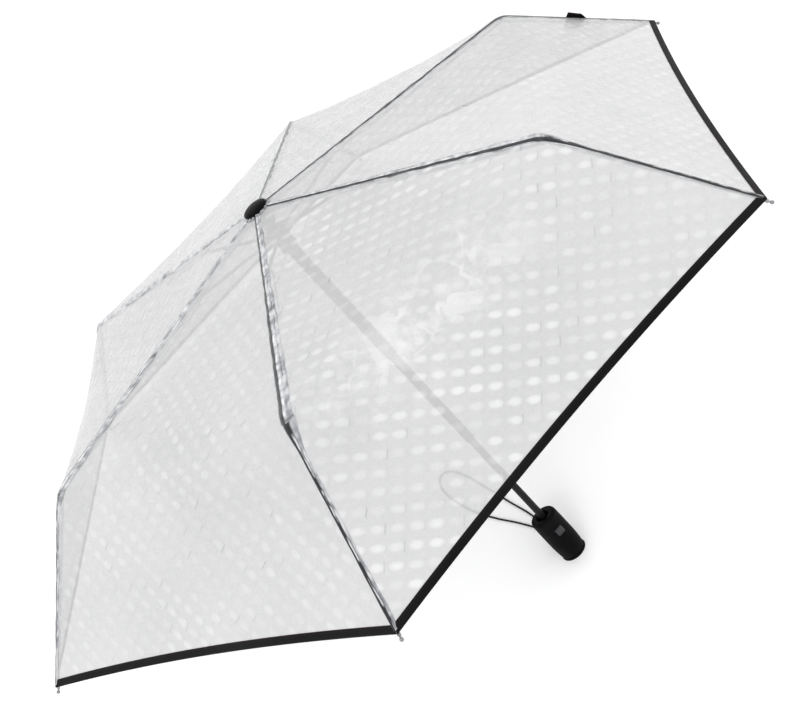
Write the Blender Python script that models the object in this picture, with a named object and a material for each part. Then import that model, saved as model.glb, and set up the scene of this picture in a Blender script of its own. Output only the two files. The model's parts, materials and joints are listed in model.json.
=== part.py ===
"""Folding umbrella: three telescoping tubes, six ribs that fold in three, and a film canopy.

The umbrella is built in its own frame, shaft along +Z from the handle's flat end, and hangs on
one empty that lays it down as an open umbrella lies: on the handle's rim and two rib tips.
"""

import math

import bmesh
import bpy
from mathutils import Matrix, Vector

# Canopy outline, measured on the outside of the fabric
RIB_COUNT = 6
CROWN_Z = 0.557
KNEE_RADIUS = 0.334
KNEE_Z = 0.5065
TIP_RADIUS = 0.475
TIP_Z = 0.370
FABRIC = 0.0008
HEM_HOLLOW = 0.006
GAP = 0.0003
CROWN_HOLE = 0.0045

# Ribs, in the plane of each rib
HINGE_RADIUS = 0.012
JOINT_RADIUS = 0.172
RIB_DROP = 0.0052
TAIL_DROP = 0.0024
TIP_PROUD = 0.005
TIP_BALL = 0.0019
STRETCHER = 0.090
LEVER = 0.008
LEVER_ANGLE = math.radians(-20.5)
HORN_ANGLE = math.radians(-12.0)
LANE = 0.0028
LINK_LANE = 0.0053
PIN = 0.0007
PIN_HOLE = 0.0011
WIRE_PIN = 0.0005
RIVET = 0.0013
EYE = 0.0019
PIN_SIDES = 8

# The link's inner eye is wider than its pin and sits a little under it when the umbrella is
# open, so the pin stays inside the eye through the whole fold.
LINK_EYE = 0.0023
LINK_EYE_HOLE = 0.0013
LINK_EYE_UNDER = 0.00056

# Bars: (height at the start, height at the end, width)
TOP_BAR = (0.0034, 0.0030, 0.0022)
STRETCHER_BAR = (0.0026, 0.0030, 0.0018)
HORN_BAR = (0.0030, 0.0024, 0.0018)
MIDDLE_BAR = (0.0030, 0.0026, 0.0018)
LEVER_BAR = (0.0028, 0.0028, 0.0018)
LINK_BAR = (0.0014, 0.0014, 0.0012)
TAIL_BAR = (0.0026, 0.0016, 0.0016)
TIP_SLEEVE = (0.0026, 0.0024, 0.0024)
TIP_PIN = (0.0014, 0.0014, 0.0014)

# Angles below the horizontal when the umbrella is folded
TOP_FOLDED = math.radians(88.5)
MIDDLE_FOLDED = math.radians(-88.4)
TAIL_FOLDED = math.radians(89.3)

# Shaft and runner
LOWER_TUBE = (0.0041, 0.0034, 0.0125, 0.222)
MIDDLE_TUBE = (0.0052, 0.0045, 0.200, 0.362)
UPPER_TUBE = (0.0065, 0.0056, 0.338, CROWN_Z - 0.0133)
TUBE_SIDES = 20
NOTCH_RADIUS = 0.0145
NOTCH_Z = (CROWN_Z - 0.0130, CROWN_Z - 0.0035)
RUNNER_RADIUS = 0.0145
RUNNER_SLEEVE = 0.0092
RUNNER_FLANGE = (-0.0045, 0.0042)
RUNNER_LENGTH = 0.0200
RUNNER_BORE = 0.0069
RUNNER_FOOT = 0.0008
RUNNER_TAPER = 0.0020
RUNNER_FOOT_HIGH = 0.0015
SLOT_FLOOR = 0.0092
RUNNER_SLOT_FLOOR = 0.0098
SLOT_REACH = 0.03
SLOT_WIDTH = 0.0030
RUNNER_SLOT_WIDTH = 0.0026
BOSS_SIDES = 30
RING_SIDES = 5
RING_WIRE = 0.0005
NOTCH_PLUG = (0.0052, 0.0115)
EDGE_CUT = 0.0006
CAP_RADIUS = 0.0138
CAP_TOP = CROWN_Z + 0.0050
CAP_BRIM = 0.0018
CAP_STEM = 0.0034
CAP_SIDES = 24

# Handle
GRIP_BOTTOM = 0.0035
GRIP_TOP = 0.0640
GRIP_RADIUS = 0.0165
GRIP_WALL = 0.0032
RECESS_RADIUS = 0.0077
RECESS_FLOOR = 0.0500
BUTTON_Z = 0.0445
BUTTON_SIZE = 0.0095
BUTTON_PROUD = 0.0014
BUTTON_DEEP = 0.0060

GRIP_SIDES = 28
BUTTON_EDGE = 0.0009
WINDOW_DEEP = 0.012
STRAP_SLOT = (0.0075, 0.012, 0.0036)
STRAP_SLOT_Z = 0.0120

# How far in from the grip's radius, and how high, the outside of the shell runs
GRIP_SIDE = [
    (0.0030, GRIP_TOP),
    (0.0012, GRIP_TOP - 0.0006),
    (0.0004, GRIP_TOP - 0.0022),
    (0.0000, GRIP_TOP - 0.0150),
    (0.0000, 0.0250),
    (0.0007, 0.0110),
    (0.0016, GRIP_BOTTOM),
]

# The collar: its lip above the shell, its skirt, and the neck that holds the lower tube
COLLAR_PROUD = 0.0004
COLLAR_SKIRT = 0.0530
COLLAR_NECK = 0.0098
COLLAR_FLOOR = 0.0020
COLLAR_BORE = 0.0044
COLLAR_LIP = 0.0012
COLLAR_CHAMFER = 0.0008
END_CAP_TOP = 0.0085

# Wrist strap: from one side of its slot in the grip, round a loop on the floor, and back.
# The points are in the placed frame, where the floor is z = 0.
STRAP_RADIUS = 0.0011
STRAP_STEP = 0.0056
STRAP_ROUTE = [
    (0.0022, -0.2265, 0.0090),
    (0.0024, -0.2212, 0.0044),
    (0.0030, -0.2149, 0.0020),
    (0.0038, -0.2067, 0.0013),
    (0.0041, -0.1920, 0.0013),
    (0.0030, -0.1702, 0.0013),
    (0.0001, -0.1494, 0.0013),
    (-0.0022, -0.1285, 0.0013),
    (-0.0046, -0.1065, 0.0013),
    (-0.0078, -0.0856, 0.0013),
    (-0.0138, -0.0697, 0.0013),
    (-0.0239, -0.0627, 0.0013),
    (-0.0338, -0.0677, 0.0013),
    (-0.0393, -0.0816, 0.0013),
    (-0.0388, -0.1026, 0.0013),
    (-0.0343, -0.1255, 0.0013),
    (-0.0247, -0.1494, 0.0013),
    (-0.0151, -0.1682, 0.0013),
    (-0.0065, -0.1880, 0.0013),
    (-0.0006, -0.2057, 0.0013),
    (-0.0015, -0.2149, 0.0020),
    (-0.0022, -0.2212, 0.0044),
    (-0.0022, -0.2265, 0.0090),
]

# Closing strap: sewn to the outside of one panel near its hem. It lies aslant towards rib 1, and
# its pointed end stands out past that rib.
BAND_WIDTH = 0.020
BAND_LENGTH = 0.103
BAND_POINT = 0.014
BAND_THICK = 0.0010
BAND_FROM_RIB = 0.062
BAND_FROM_HEM = 0.012
BAND_ABOVE = 0.0012
BAND_TURN = math.radians(15.3)

# The lying pose touches the floor with the handle's rim and with two tips
RIM_RADIUS = 0.0138
RIM_ROUND = 0.0020


def rib_azimuth(number):
    """Azimuth of rib 1 to 6; ribs 2 and 3 are the two that touch the floor."""
    return math.radians(60.0 * (number - 1))


def fabric_z(radius):
    """Height of the fabric's outside over a rib, inside the knee."""
    return CROWN_Z + (KNEE_Z - CROWN_Z) * radius / KNEE_RADIUS


RIB_SLOPE = math.atan2(CROWN_Z - KNEE_Z, KNEE_RADIUS)
TAIL_SLOPE = math.atan2(KNEE_Z - TIP_Z, TIP_RADIUS - KNEE_RADIUS)
CROWN_HINGE = Vector((HINGE_RADIUS, 0, fabric_z(HINGE_RADIUS) - RIB_DROP))
RIB_JOINT = Vector((JOINT_RADIUS, 0, fabric_z(JOINT_RADIUS) - RIB_DROP))
KNEE_INSET = 0.0030
KNEE = Vector((KNEE_RADIUS - KNEE_INSET, 0, fabric_z(KNEE_RADIUS - KNEE_INSET) - RIB_DROP))
TAIL_ALONG = Vector((math.cos(TAIL_SLOPE), 0, -math.sin(TAIL_SLOPE)))
TAIL_UNDER = Vector((-math.sin(TAIL_SLOPE), 0, -math.cos(TAIL_SLOPE)))
TIP = Vector((TIP_RADIUS, 0, TIP_Z)) + TAIL_ALONG * TIP_PROUD + TAIL_UNDER * TAIL_DROP
RUNNER_PIVOT_Z = CROWN_HINGE.z - 2 * STRETCHER * math.sin(RIB_SLOPE)


def lying_pose():
    """Lean about X and the shift that set the rim and the two tips on the floor."""
    tip_y = TIP.x * math.cos(math.radians(30.0))
    reach_y = tip_y - RIM_RADIUS
    reach_z = TIP.z - RIM_ROUND
    lean = math.atan2(reach_z, reach_y)
    lean -= math.asin((TIP_BALL - RIM_ROUND) / math.hypot(reach_y, reach_z))

    def along(y, z):
        return y * math.cos(lean) + z * math.sin(lean)

    def above(y, z):
        return -y * math.sin(lean) + z * math.cos(lean)

    front = along(tip_y, TIP.z)
    back = along(-tip_y, TIP.z)
    floor = above(tip_y, TIP.z) - TIP_BALL
    return lean, Vector((0, -(front + back) / 2, -floor))


# ---------------------------------------------------------------- small tools


def clear_scene():
    for thing in list(bpy.data.objects):
        bpy.data.objects.remove(thing, do_unlink=True)


def material(name, colour, roughness, metallic=0.0):
    made = bpy.data.materials.new(name)
    made.use_nodes = True
    shader = made.node_tree.nodes["Principled BSDF"]
    shader.inputs["Base Color"].default_value = (*colour, 1.0)
    shader.inputs["Roughness"].default_value = roughness
    shader.inputs["Metallic"].default_value = metallic
    return made


def empty(name, parent=None, location=(0, 0, 0), rotation=(0, 0, 0)):
    made = bpy.data.objects.new(name, None)
    bpy.context.collection.objects.link(made)
    made.parent = parent
    made.location = location
    made.rotation_euler = rotation
    return made


def node(name, mesh, look, parent, location=(0, 0, 0), rotation=(0, 0, 0)):
    """One named sub-part; look is (colour, roughness, metallic)."""
    made = bpy.data.objects.new(name, mesh)
    bpy.context.collection.objects.link(made)
    made.parent = parent
    made.location = location
    made.rotation_euler = rotation
    finish = bpy.data.materials.get(name) or material(name, *look)
    if not mesh.materials:
        mesh.materials.append(finish)
    made.material_slots[0].link = "OBJECT"
    made.material_slots[0].material = finish
    return made


def mesh_of(name, build):
    """A mesh filled by a bmesh function, with faces turned outward."""
    bm = bmesh.new()
    build(bm)
    bmesh.ops.recalc_face_normals(bm, faces=bm.faces[:])
    mesh = bpy.data.meshes.new(name)
    bm.to_mesh(mesh)
    bm.free()
    return mesh


def turned(name, profile, sides=TUBE_SIDES):
    """A closed (radius, z) outline turned round Z; points at radius 0 are joined on the axis."""

    def build(bm):
        rings = []
        for radius, z in profile:
            if radius == 0:
                rings.append([bm.verts.new((0, 0, z))])
                continue
            turn = [2 * math.pi * k / sides for k in range(sides)]
            rings.append([bm.verts.new((radius * math.cos(a), radius * math.sin(a), z)) for a in turn])
        for low, high in zip(rings, rings[1:] + rings[:1]):
            if len(low) == 1 and len(high) == 1:
                continue
            for k in range(sides):
                n = (k + 1) % sides
                corners = [low[k % len(low)], low[n % len(low)], high[n % len(high)], high[k % len(high)]]
                bm.faces.new(list(dict.fromkeys(corners)))

    mesh = mesh_of(name, build)
    mesh.shade_smooth()
    mesh.set_sharp_from_angle(angle=math.radians(35))
    return mesh


def tube_mesh(name, size):
    outer, inner, low, high = size
    return turned(name, [(outer, high), (outer, low), (inner, low), (inner, high)])


def cylinder(bm, radius, low, high, centre=(0, 0), sides=10):
    """A cylinder along Y from low to high, centred at (x, z)."""
    ends = []
    for y in (low, high):
        turn = [2 * math.pi * (k + 0.5) / sides for k in range(sides)]
        ends.append(
            [bm.verts.new((centre[0] + radius * math.cos(a), y, centre[1] + radius * math.sin(a))) for a in turn]
        )
    bm.faces.new(ends[0])
    bm.faces.new(ends[1])
    for k in range(sides):
        n = (k + 1) % sides
        bm.faces.new([ends[0][k], ends[0][n], ends[1][n], ends[1][k]])


def bar(bm, start, end, size, lane):
    """A straight bar between two points of the rib's plane; size as in the bars' table."""
    height_start, height_end, width = size
    along = Vector((end[0] - start[0], end[1] - start[1])).normalized()
    across = Vector((-along.y, along.x))
    corners = []
    for point, height in ((start, height_start), (end, height_end)):
        for side in (-1, 1):
            at = Vector(point) + across * side * height / 2
            corners.append((at.x, at.y))
    low = [bm.verts.new((x, lane - width / 2, z)) for x, z in corners]
    high = [bm.verts.new((x, lane + width / 2, z)) for x, z in corners]
    order = [0, 2, 3, 1]
    bm.faces.new([low[k] for k in order])
    bm.faces.new([high[k] for k in order])
    for k in range(4):
        a, b = order[k], order[(k + 1) % 4]
        bm.faces.new([low[a], low[b], high[b], high[a]])


def solid(name, pieces, holes=(), bevel=0.0):
    """Union of several small shapes with round holes cut through, as one mesh."""
    made = []
    for k, build in enumerate([*pieces, *holes]):
        part = bpy.data.objects.new(f"{name}_{k}", mesh_of(f"{name}_{k}", build))
        bpy.context.collection.objects.link(part)
        made.append(part)
    body = made[0]
    for k, other in enumerate(made[1:], start=1):
        cut = body.modifiers.new(f"join_{k}", "BOOLEAN")
        cut.operation = "UNION" if k < len(pieces) else "DIFFERENCE"
        cut.object = other
    if bevel:
        edge = body.modifiers.new("edge", "BEVEL")
        edge.width = bevel
        edge.limit_method = "ANGLE"
    shaped = bpy.data.meshes.new_from_object(body.evaluated_get(bpy.context.evaluated_depsgraph_get()))
    shaped.name = name
    for part in made:
        bpy.data.objects.remove(part, do_unlink=True)
    return shaped


def polar(radius, angle):
    return radius * math.cos(angle), radius * math.sin(angle)


# ---------------------------------------------------------------- ribs


def top_rib_mesh():
    """Crown hinge at the origin, rib along +X; pins for the stretcher and the middle rib."""
    length = (RIB_JOINT - CROWN_HINGE).length
    half = TOP_BAR[2] / 2
    side = LANE + 0.0015
    return solid(
        "top_rib",
        [
            lambda bm: bar(bm, (0, 0), (length, 0), TOP_BAR, 0),
            lambda bm: cylinder(bm, EYE, -half, half),
            lambda bm: cylinder(bm, EYE, -half, half, (length, 0)),
            lambda bm: cylinder(bm, PIN, 0, side + 0.0002, (STRETCHER, 0), PIN_SIDES),
            lambda bm: cylinder(bm, PIN, -side, 0, (length, 0), PIN_SIDES),
            lambda bm: cylinder(bm, RIVET, -side - 0.0003, -side + 0.0001, (length, 0), PIN_SIDES),
        ],
        [lambda bm: cylinder(bm, PIN_HOLE, -2 * half, 2 * half, (0, 0), PIN_SIDES)],
    )


def stretcher_mesh():
    """Eye on the top rib at the origin, foot towards -X, and a short horn for the link wire."""
    horn = polar(LEVER, HORN_ANGLE - 2 * RIB_SLOPE)
    half = STRETCHER_BAR[2] / 2
    low, high = LANE - half, LANE + half
    return solid(
        "stretcher",
        [
            lambda bm: bar(bm, (-STRETCHER, 0), (0, 0), STRETCHER_BAR, LANE),
            lambda bm: cylinder(bm, EYE - 0.0003, low, high, (-STRETCHER, 0)),
            lambda bm: cylinder(bm, EYE + 0.0003, low, high),
            lambda bm: bar(bm, (0, 0), horn, HORN_BAR, LANE),
            lambda bm: cylinder(bm, EYE - 0.0005, low, high, horn),
            lambda bm: cylinder(bm, WIRE_PIN, LANE, LINK_LANE + half, horn, PIN_SIDES),
        ],
        [lambda bm: cylinder(bm, PIN_HOLE, low - half, high + half, (0, 0), PIN_SIDES)],
    )


def middle_rib_mesh():
    """Eye on the top rib's end at the origin, a lever for the link, and the knee pin."""
    length = (KNEE - RIB_JOINT).length
    lever = polar(LEVER, LEVER_ANGLE)
    half = MIDDLE_BAR[2] / 2
    low, high = -LANE - half, -LANE + half
    pin_end = 0.0013
    return solid(
        "middle_rib",
        [
            lambda bm: bar(bm, (0, 0), (length, 0), MIDDLE_BAR, -LANE),
            lambda bm: cylinder(bm, EYE + 0.0003, low, high),
            lambda bm: bar(bm, (LEVER, 0), lever, LEVER_BAR, -LANE),
            lambda bm: cylinder(bm, EYE - 0.0005, low, high, lever),
            lambda bm: cylinder(bm, WIRE_PIN, -LANE, LINK_LANE + half, lever, PIN_SIDES),
            lambda bm: cylinder(bm, EYE, low, high, (length, 0)),
            lambda bm: cylinder(bm, PIN, -LANE, pin_end, (length, 0), PIN_SIDES),
            lambda bm: cylinder(bm, RIVET, pin_end - 0.0002, pin_end + 0.0003, (length, 0), PIN_SIDES),
        ],
        [lambda bm: cylinder(bm, PIN_HOLE, low - half, high + half, (0, 0), PIN_SIDES)],
    )


def link_ends():
    """The link's outer pivot and the middle of its inner eye, seen from the top rib's outer end."""
    length = (RIB_JOINT - CROWN_HINGE).length
    lever = Vector(polar(LEVER, LEVER_ANGLE))
    horn = Vector(polar(LEVER, HORN_ANGLE)) + Vector((STRETCHER - length, 0))
    return lever, horn - Vector((0, LINK_EYE_UNDER))


def link_mesh():
    """A thin wire with an eye at each end; the lever's eye is at the origin."""
    lever, horn = link_ends()
    reach = horn - lever
    half = LINK_BAR[2] / 2 + 0.0001
    low, high = LINK_LANE - half, LINK_LANE + half
    return solid(
        "link",
        [
            lambda bm: bar(bm, (0, 0), reach, LINK_BAR, LINK_LANE),
            lambda bm: cylinder(bm, EYE, low, high),
            lambda bm: cylinder(bm, LINK_EYE, low, high, reach),
        ],
        [
            lambda bm: cylinder(bm, WIRE_PIN + 0.0004, low - half, high + half, (0, 0), PIN_SIDES),
            lambda bm: cylinder(bm, LINK_EYE_HOLE, low - half, high + half, reach, PIN_SIDES),
        ],
    )


def ball(bm, centre, radius):
    made = bmesh.ops.create_icosphere(bm, subdivisions=2, radius=radius)
    bmesh.ops.translate(bm, verts=made["verts"], vec=(centre[0], 0, centre[1]))


def tail_rib_mesh():
    """Eye on the knee pin at the origin, a tapering rib and the tip's pin with its ball."""
    length = (TIP - KNEE).length
    neck = length - TIP_PROUD
    half = TAIL_BAR[2] / 2
    return solid(
        "tail_rib",
        [
            lambda bm: bar(bm, (0, 0), (neck + 0.001, 0), TAIL_BAR, 0),
            lambda bm: cylinder(bm, EYE, -half, half),
            lambda bm: bar(bm, (neck - 0.010, 0), (neck + 0.002, 0), TIP_SLEEVE, 0),
            lambda bm: bar(bm, (neck, 0), (length, 0), TIP_PIN, 0),
            lambda bm: ball(bm, (length, 0), TIP_BALL),
        ],
        [lambda bm: cylinder(bm, PIN_HOLE, -2 * half, 2 * half, (0, 0), PIN_SIDES)],
    )


# ---------------------------------------------------------------- canopy


def strip_rows(inner, outer, hollow):
    """Corner points of one strip: two rows across the rib, from panel middle to panel middle."""
    rows = []
    for (radius, z), dip in ((inner, 0.0), (outer, hollow)):
        row = []
        for share in (-1.0, -0.5, 0.0, 0.5, 1.0):
            away = abs(share)
            side = math.copysign(1.0, share)
            x = radius * (1 - 0.25 * away)
            y = radius * math.cos(math.radians(30)) * 0.5 * share
            pull = dip * (1 - (1 - away) ** 2)
            x -= pull * math.cos(math.radians(30))
            y -= pull * math.sin(math.radians(30)) * side
            drop = pull * math.tan(TAIL_SLOPE)
            if away == 1.0:
                x += GAP * math.sin(math.radians(30))
                y -= GAP * math.cos(math.radians(30)) * side
            row.append(Vector((x, y, z + drop)))
        rows.append(row)
    return rows


def strip_mesh(name, inner, outer, hollow=0.0):
    """A closed sheet over one rib, its top on the fabric's outside."""

    def build(bm):
        rows = strip_rows(inner, outer, hollow)
        top = [[bm.verts.new(p) for p in row] for row in rows]
        low = [[bm.verts.new(p - Vector((0, 0, FABRIC))) for p in row] for row in rows]
        for k in range(4):
            bm.faces.new([top[0][k], top[0][k + 1], top[1][k + 1], top[1][k]])
            bm.faces.new([low[0][k], low[0][k + 1], low[1][k + 1], low[1][k]])
            bm.faces.new([top[0][k], top[0][k + 1], low[0][k + 1], low[0][k]])
            bm.faces.new([top[1][k], top[1][k + 1], low[1][k + 1], low[1][k]])
        for k in (0, 4):
            bm.faces.new([top[0][k], top[1][k], low[1][k], low[0][k]])

    return mesh_of(name, build)


def canopy_meshes():
    """Inner, middle and outer strip; each follows the rib section under it."""
    seam_low = JOINT_RADIUS - GAP
    seam_high = JOINT_RADIUS + GAP
    knee_low = KNEE_RADIUS - GAP
    knee = (KNEE_RADIUS + GAP, KNEE_Z - GAP * math.tan(TAIL_SLOPE))
    return {
        "inner": strip_mesh("inner", (CROWN_HOLE, fabric_z(CROWN_HOLE)), (seam_low, fabric_z(seam_low))),
        "middle": strip_mesh("middle", (seam_high, fabric_z(seam_high)), (knee_low, fabric_z(knee_low))),
        "outer": strip_mesh("outer", knee, (TIP_RADIUS, TIP_Z), HEM_HOLLOW),
    }


BLACK_METAL = ((0.02, 0.02, 0.022), 0.35, 0.6)
GREY_METAL = ((0.16, 0.165, 0.175), 0.35, 0.8)
BLACK_PLASTIC = ((0.016, 0.016, 0.017), 0.5, 0.0)
GREY_PLASTIC = ((0.22, 0.22, 0.22), 0.5, 0.0)
FILM = ((0.72, 0.74, 0.76), 0.3, 0.0)
CORD = ((0.03, 0.03, 0.028), 0.8, 0.0)
WEBBING = ((0.018, 0.018, 0.02), 0.7, 0.0)


def build_ribs(umbrella):
    meshes = {
        "top": top_rib_mesh(),
        "stretcher": stretcher_mesh(),
        "middle": middle_rib_mesh(),
        "link": link_mesh(),
        "tail": tail_rib_mesh(),
    }
    strips = canopy_meshes()
    lever, _ = link_ends()
    for number in range(1, RIB_COUNT + 1):
        plane = empty(f"rib_{number}_plane", umbrella, rotation=(0, 0, rib_azimuth(number)))
        rib = f"rib_{number}"
        slope = (0, RIB_SLOPE, 0)
        top = node(f"{rib}_top", meshes["top"], GREY_METAL, plane, CROWN_HINGE, slope)
        length = (RIB_JOINT - CROWN_HINGE).length
        turn = (0, -2 * RIB_SLOPE, 0)
        node(f"{rib}_stretcher", meshes["stretcher"], BLACK_METAL, top, (STRETCHER, 0, 0), turn)
        middle = node(f"{rib}_middle", meshes["middle"], GREY_METAL, top, (length, 0, 0))
        node(f"{rib}_link", meshes["link"], GREY_METAL, middle, (lever.x, 0, lever.y))
        knee_turn = (0, rib_plane_angle(KNEE, TIP) - RIB_SLOPE, 0)
        node(f"{rib}_tail", meshes["tail"], GREY_METAL, middle, ((KNEE - RIB_JOINT).length, 0, 0), knee_turn)
        for zone, mesh in strips.items():
            node(f"canopy_{number}_{zone}", mesh, FILM, plane)


def rib_plane_angle(start, end):
    """Angle below the horizontal of the line from start to end."""
    return math.atan2(start.z - end.z, end.x - start.x)


# ---------------------------------------------------------------- shaft


def slotted(name, profile, floor, lanes, slot, low, high, ring=None):
    """A turned boss with radial slots for the ribs, and a wire ring through them."""
    body = bpy.data.objects.new(name, turned(name, profile, BOSS_SIDES))
    bpy.context.collection.objects.link(body)
    helpers = []
    for number in range(1, RIB_COUNT + 1):
        turn = rib_azimuth(number)

        def box(bm, turn=turn):
            level = (low + high) / 2
            bar(bm, (floor, level), (SLOT_REACH, level), (high - low, high - low, slot), lanes)
            bmesh.ops.rotate(bm, verts=bm.verts[:], cent=(0, 0, 0), matrix=turn_z(turn))

        cutter = bpy.data.objects.new(f"{name}_slot_{number}", mesh_of(f"{name}_slot_{number}", box))
        bpy.context.collection.objects.link(cutter)
        cut = body.modifiers.new(f"slot_{number}", "BOOLEAN")
        cut.operation = "DIFFERENCE"
        cut.object = cutter
        helpers.append(cutter)
    if ring:
        wire = bpy.data.objects.new(f"{name}_ring", ring)
        bpy.context.collection.objects.link(wire)
        join = body.modifiers.new("ring", "BOOLEAN")
        join.operation = "UNION"
        join.object = wire
        helpers.append(wire)
    shaped = bpy.data.meshes.new_from_object(body.evaluated_get(bpy.context.evaluated_depsgraph_get()))
    shaped.name = name
    for part in [body, *helpers]:
        bpy.data.objects.remove(part, do_unlink=True)
    return shaped


def turn_z(angle):
    return Matrix.Rotation(angle, 3, "Z")


def ring_mesh(radius, wire, z):
    """A wire ring lying level."""
    turn = [-2 * math.pi * k / RING_SIDES for k in range(RING_SIDES)]
    outline = [(radius + wire * math.cos(a), z + wire * math.sin(a)) for a in turn]
    return turned("ring", outline, BOSS_SIDES)


def build_shaft(umbrella):
    node("lower_tube", tube_mesh("lower_tube", LOWER_TUBE), BLACK_METAL, umbrella)
    node("middle_tube", tube_mesh("middle_tube", MIDDLE_TUBE), BLACK_METAL, umbrella)
    node("upper_tube", tube_mesh("upper_tube", UPPER_TUBE), BLACK_METAL, umbrella)

    low, high = NOTCH_Z
    plug, plug_length = NOTCH_PLUG
    profile = [
        (0, high),
        (NOTCH_RADIUS - EDGE_CUT, high),
        (NOTCH_RADIUS, high - EDGE_CUT),
        (NOTCH_RADIUS, low),
        (plug, low),
        (plug, low - plug_length),
        (0, low - plug_length),
    ]
    ring = ring_mesh(HINGE_RADIUS, RING_WIRE, CROWN_HINGE.z)
    notch = slotted("crown_notch", profile, SLOT_FLOOR, 0.0, SLOT_WIDTH, low - 0.002, high + 0.002, ring)
    node("crown_notch", notch, BLACK_PLASTIC, umbrella)

    flange_low, flange_high = RUNNER_FLANGE
    profile = [
        (RUNNER_BORE, flange_high),
        (RUNNER_RADIUS, flange_high),
        (RUNNER_RADIUS, flange_low),
        (RUNNER_SLEEVE, flange_low - RUNNER_TAPER),
        (RUNNER_SLEEVE, -RUNNER_LENGTH + RUNNER_FOOT_HIGH + RUNNER_FOOT),
        (RUNNER_SLEEVE + RUNNER_FOOT, -RUNNER_LENGTH + RUNNER_FOOT_HIGH),
        (RUNNER_SLEEVE + RUNNER_FOOT, -RUNNER_LENGTH),
        (RUNNER_BORE, -RUNNER_LENGTH),
    ]
    slots = (RUNNER_SLOT_FLOOR, LANE, RUNNER_SLOT_WIDTH, flange_low - 0.003, flange_high + 0.002)
    runner = slotted("runner", profile, *slots)
    node("runner", runner, BLACK_PLASTIC, umbrella, (0, 0, RUNNER_PIVOT_Z))

    rim_z = fabric_z(CAP_RADIUS) + GAP
    dome_z = rim_z + CAP_BRIM
    dome = [(0, CAP_TOP)]
    for k in range(1, 7):
        a = math.radians(15 * k)
        dome.append((CAP_RADIUS * math.sin(a), dome_z + (CAP_TOP - dome_z) * math.cos(a)))
    cap = [
        *dome,
        (CAP_RADIUS, rim_z),
        (CAP_STEM, fabric_z(CAP_STEM) + GAP),
        (CAP_STEM, NOTCH_Z[1] + GAP),
        (0, NOTCH_Z[1] + GAP),
    ]
    node("top_cap", turned("top_cap", cap, CAP_SIDES), BLACK_PLASTIC, umbrella)


# ---------------------------------------------------------------- handle


def grip_profile():
    """Outer side from the rim down, then the bore back up."""
    outer = [(GRIP_RADIUS - inward, z) for inward, z in GRIP_SIDE]
    bore = GRIP_RADIUS - GRIP_WALL
    return [*outer, (bore, GRIP_BOTTOM), (bore, GRIP_TOP)]


def collar_profile(outside):
    """From the lip's outer edge down round the skirt and neck, and up inside the recess."""
    floor_low = RECESS_FLOOR - COLLAR_FLOOR
    return [
        (outside - COLLAR_LIP, GRIP_TOP + COLLAR_PROUD),
        (outside, GRIP_TOP - COLLAR_LIP / 2),
        (outside, COLLAR_SKIRT),
        (COLLAR_NECK, COLLAR_SKIRT),
        (COLLAR_NECK, floor_low),
        (COLLAR_BORE, floor_low),
        (COLLAR_BORE, RECESS_FLOOR),
        (RECESS_RADIUS, RECESS_FLOOR),
        (RECESS_RADIUS, GRIP_TOP - COLLAR_LIP),
        (RECESS_RADIUS + COLLAR_CHAMFER, GRIP_TOP + COLLAR_PROUD),
    ]


def end_cap_profile(outside):
    """A plug inside the shell and a rounded rim under it."""
    edge = GRIP_BOTTOM - GAP
    rounded = [(0.55, edge), (1.0, RIM_ROUND), (0.87, RIM_ROUND * 0.5), (0.5, RIM_ROUND * 0.13), (0.0, 0.0)]
    rim = [(RIM_RADIUS + RIM_ROUND * out, z) for out, z in rounded]
    return [(0, END_CAP_TOP), (outside, END_CAP_TOP), (outside, edge), *rim, (0, 0)]


def build_handle(umbrella):
    inside = GRIP_RADIUS - GRIP_WALL - GAP
    shell = node("grip_shell", turned("grip_shell", grip_profile(), GRIP_SIDES), BLACK_PLASTIC, umbrella)
    window = BUTTON_SIZE + 2 * GAP
    cut_out(shell, "button_window", (window, WINDOW_DEEP, window), (0, -GRIP_RADIUS, BUTTON_Z), umbrella)
    cut_out(shell, "strap_slot", STRAP_SLOT, (0, GRIP_RADIUS, STRAP_SLOT_Z), umbrella)
    collar = turned("grip_collar", collar_profile(inside), GRIP_SIDES)
    node("grip_collar", collar, BLACK_PLASTIC, umbrella)
    end_cap = turned("end_cap", end_cap_profile(inside), GRIP_SIDES)
    node("end_cap", end_cap, BLACK_PLASTIC, umbrella)

    def key(bm):
        half = BUTTON_SIZE / 2
        middle = BUTTON_DEEP / 2 - BUTTON_PROUD
        bar(bm, (-half, 0), (half, 0), (BUTTON_SIZE, BUTTON_SIZE, BUTTON_DEEP), middle)

    button = node("push_button", mesh_of("push_button", key), GREY_PLASTIC, umbrella, (0, -GRIP_RADIUS, BUTTON_Z))
    edge = button.modifiers.new("edge", "BEVEL")
    edge.width = BUTTON_EDGE
    edge.segments = 3


def cut_out(body, name, size, place, parent):
    bpy.ops.mesh.primitive_cube_add(size=1)
    cutter = bpy.context.object
    cutter.name = name
    for vert in cutter.data.vertices:
        vert.co = [c * s for c, s in zip(vert.co, size)]
    cutter.parent = parent
    cutter.location = place
    cutter.hide_render = True
    cutter.display_type = "WIRE"
    cut = body.modifiers.new(name, "BOOLEAN")
    cut.object = cutter


# ---------------------------------------------------------------- straps


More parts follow.
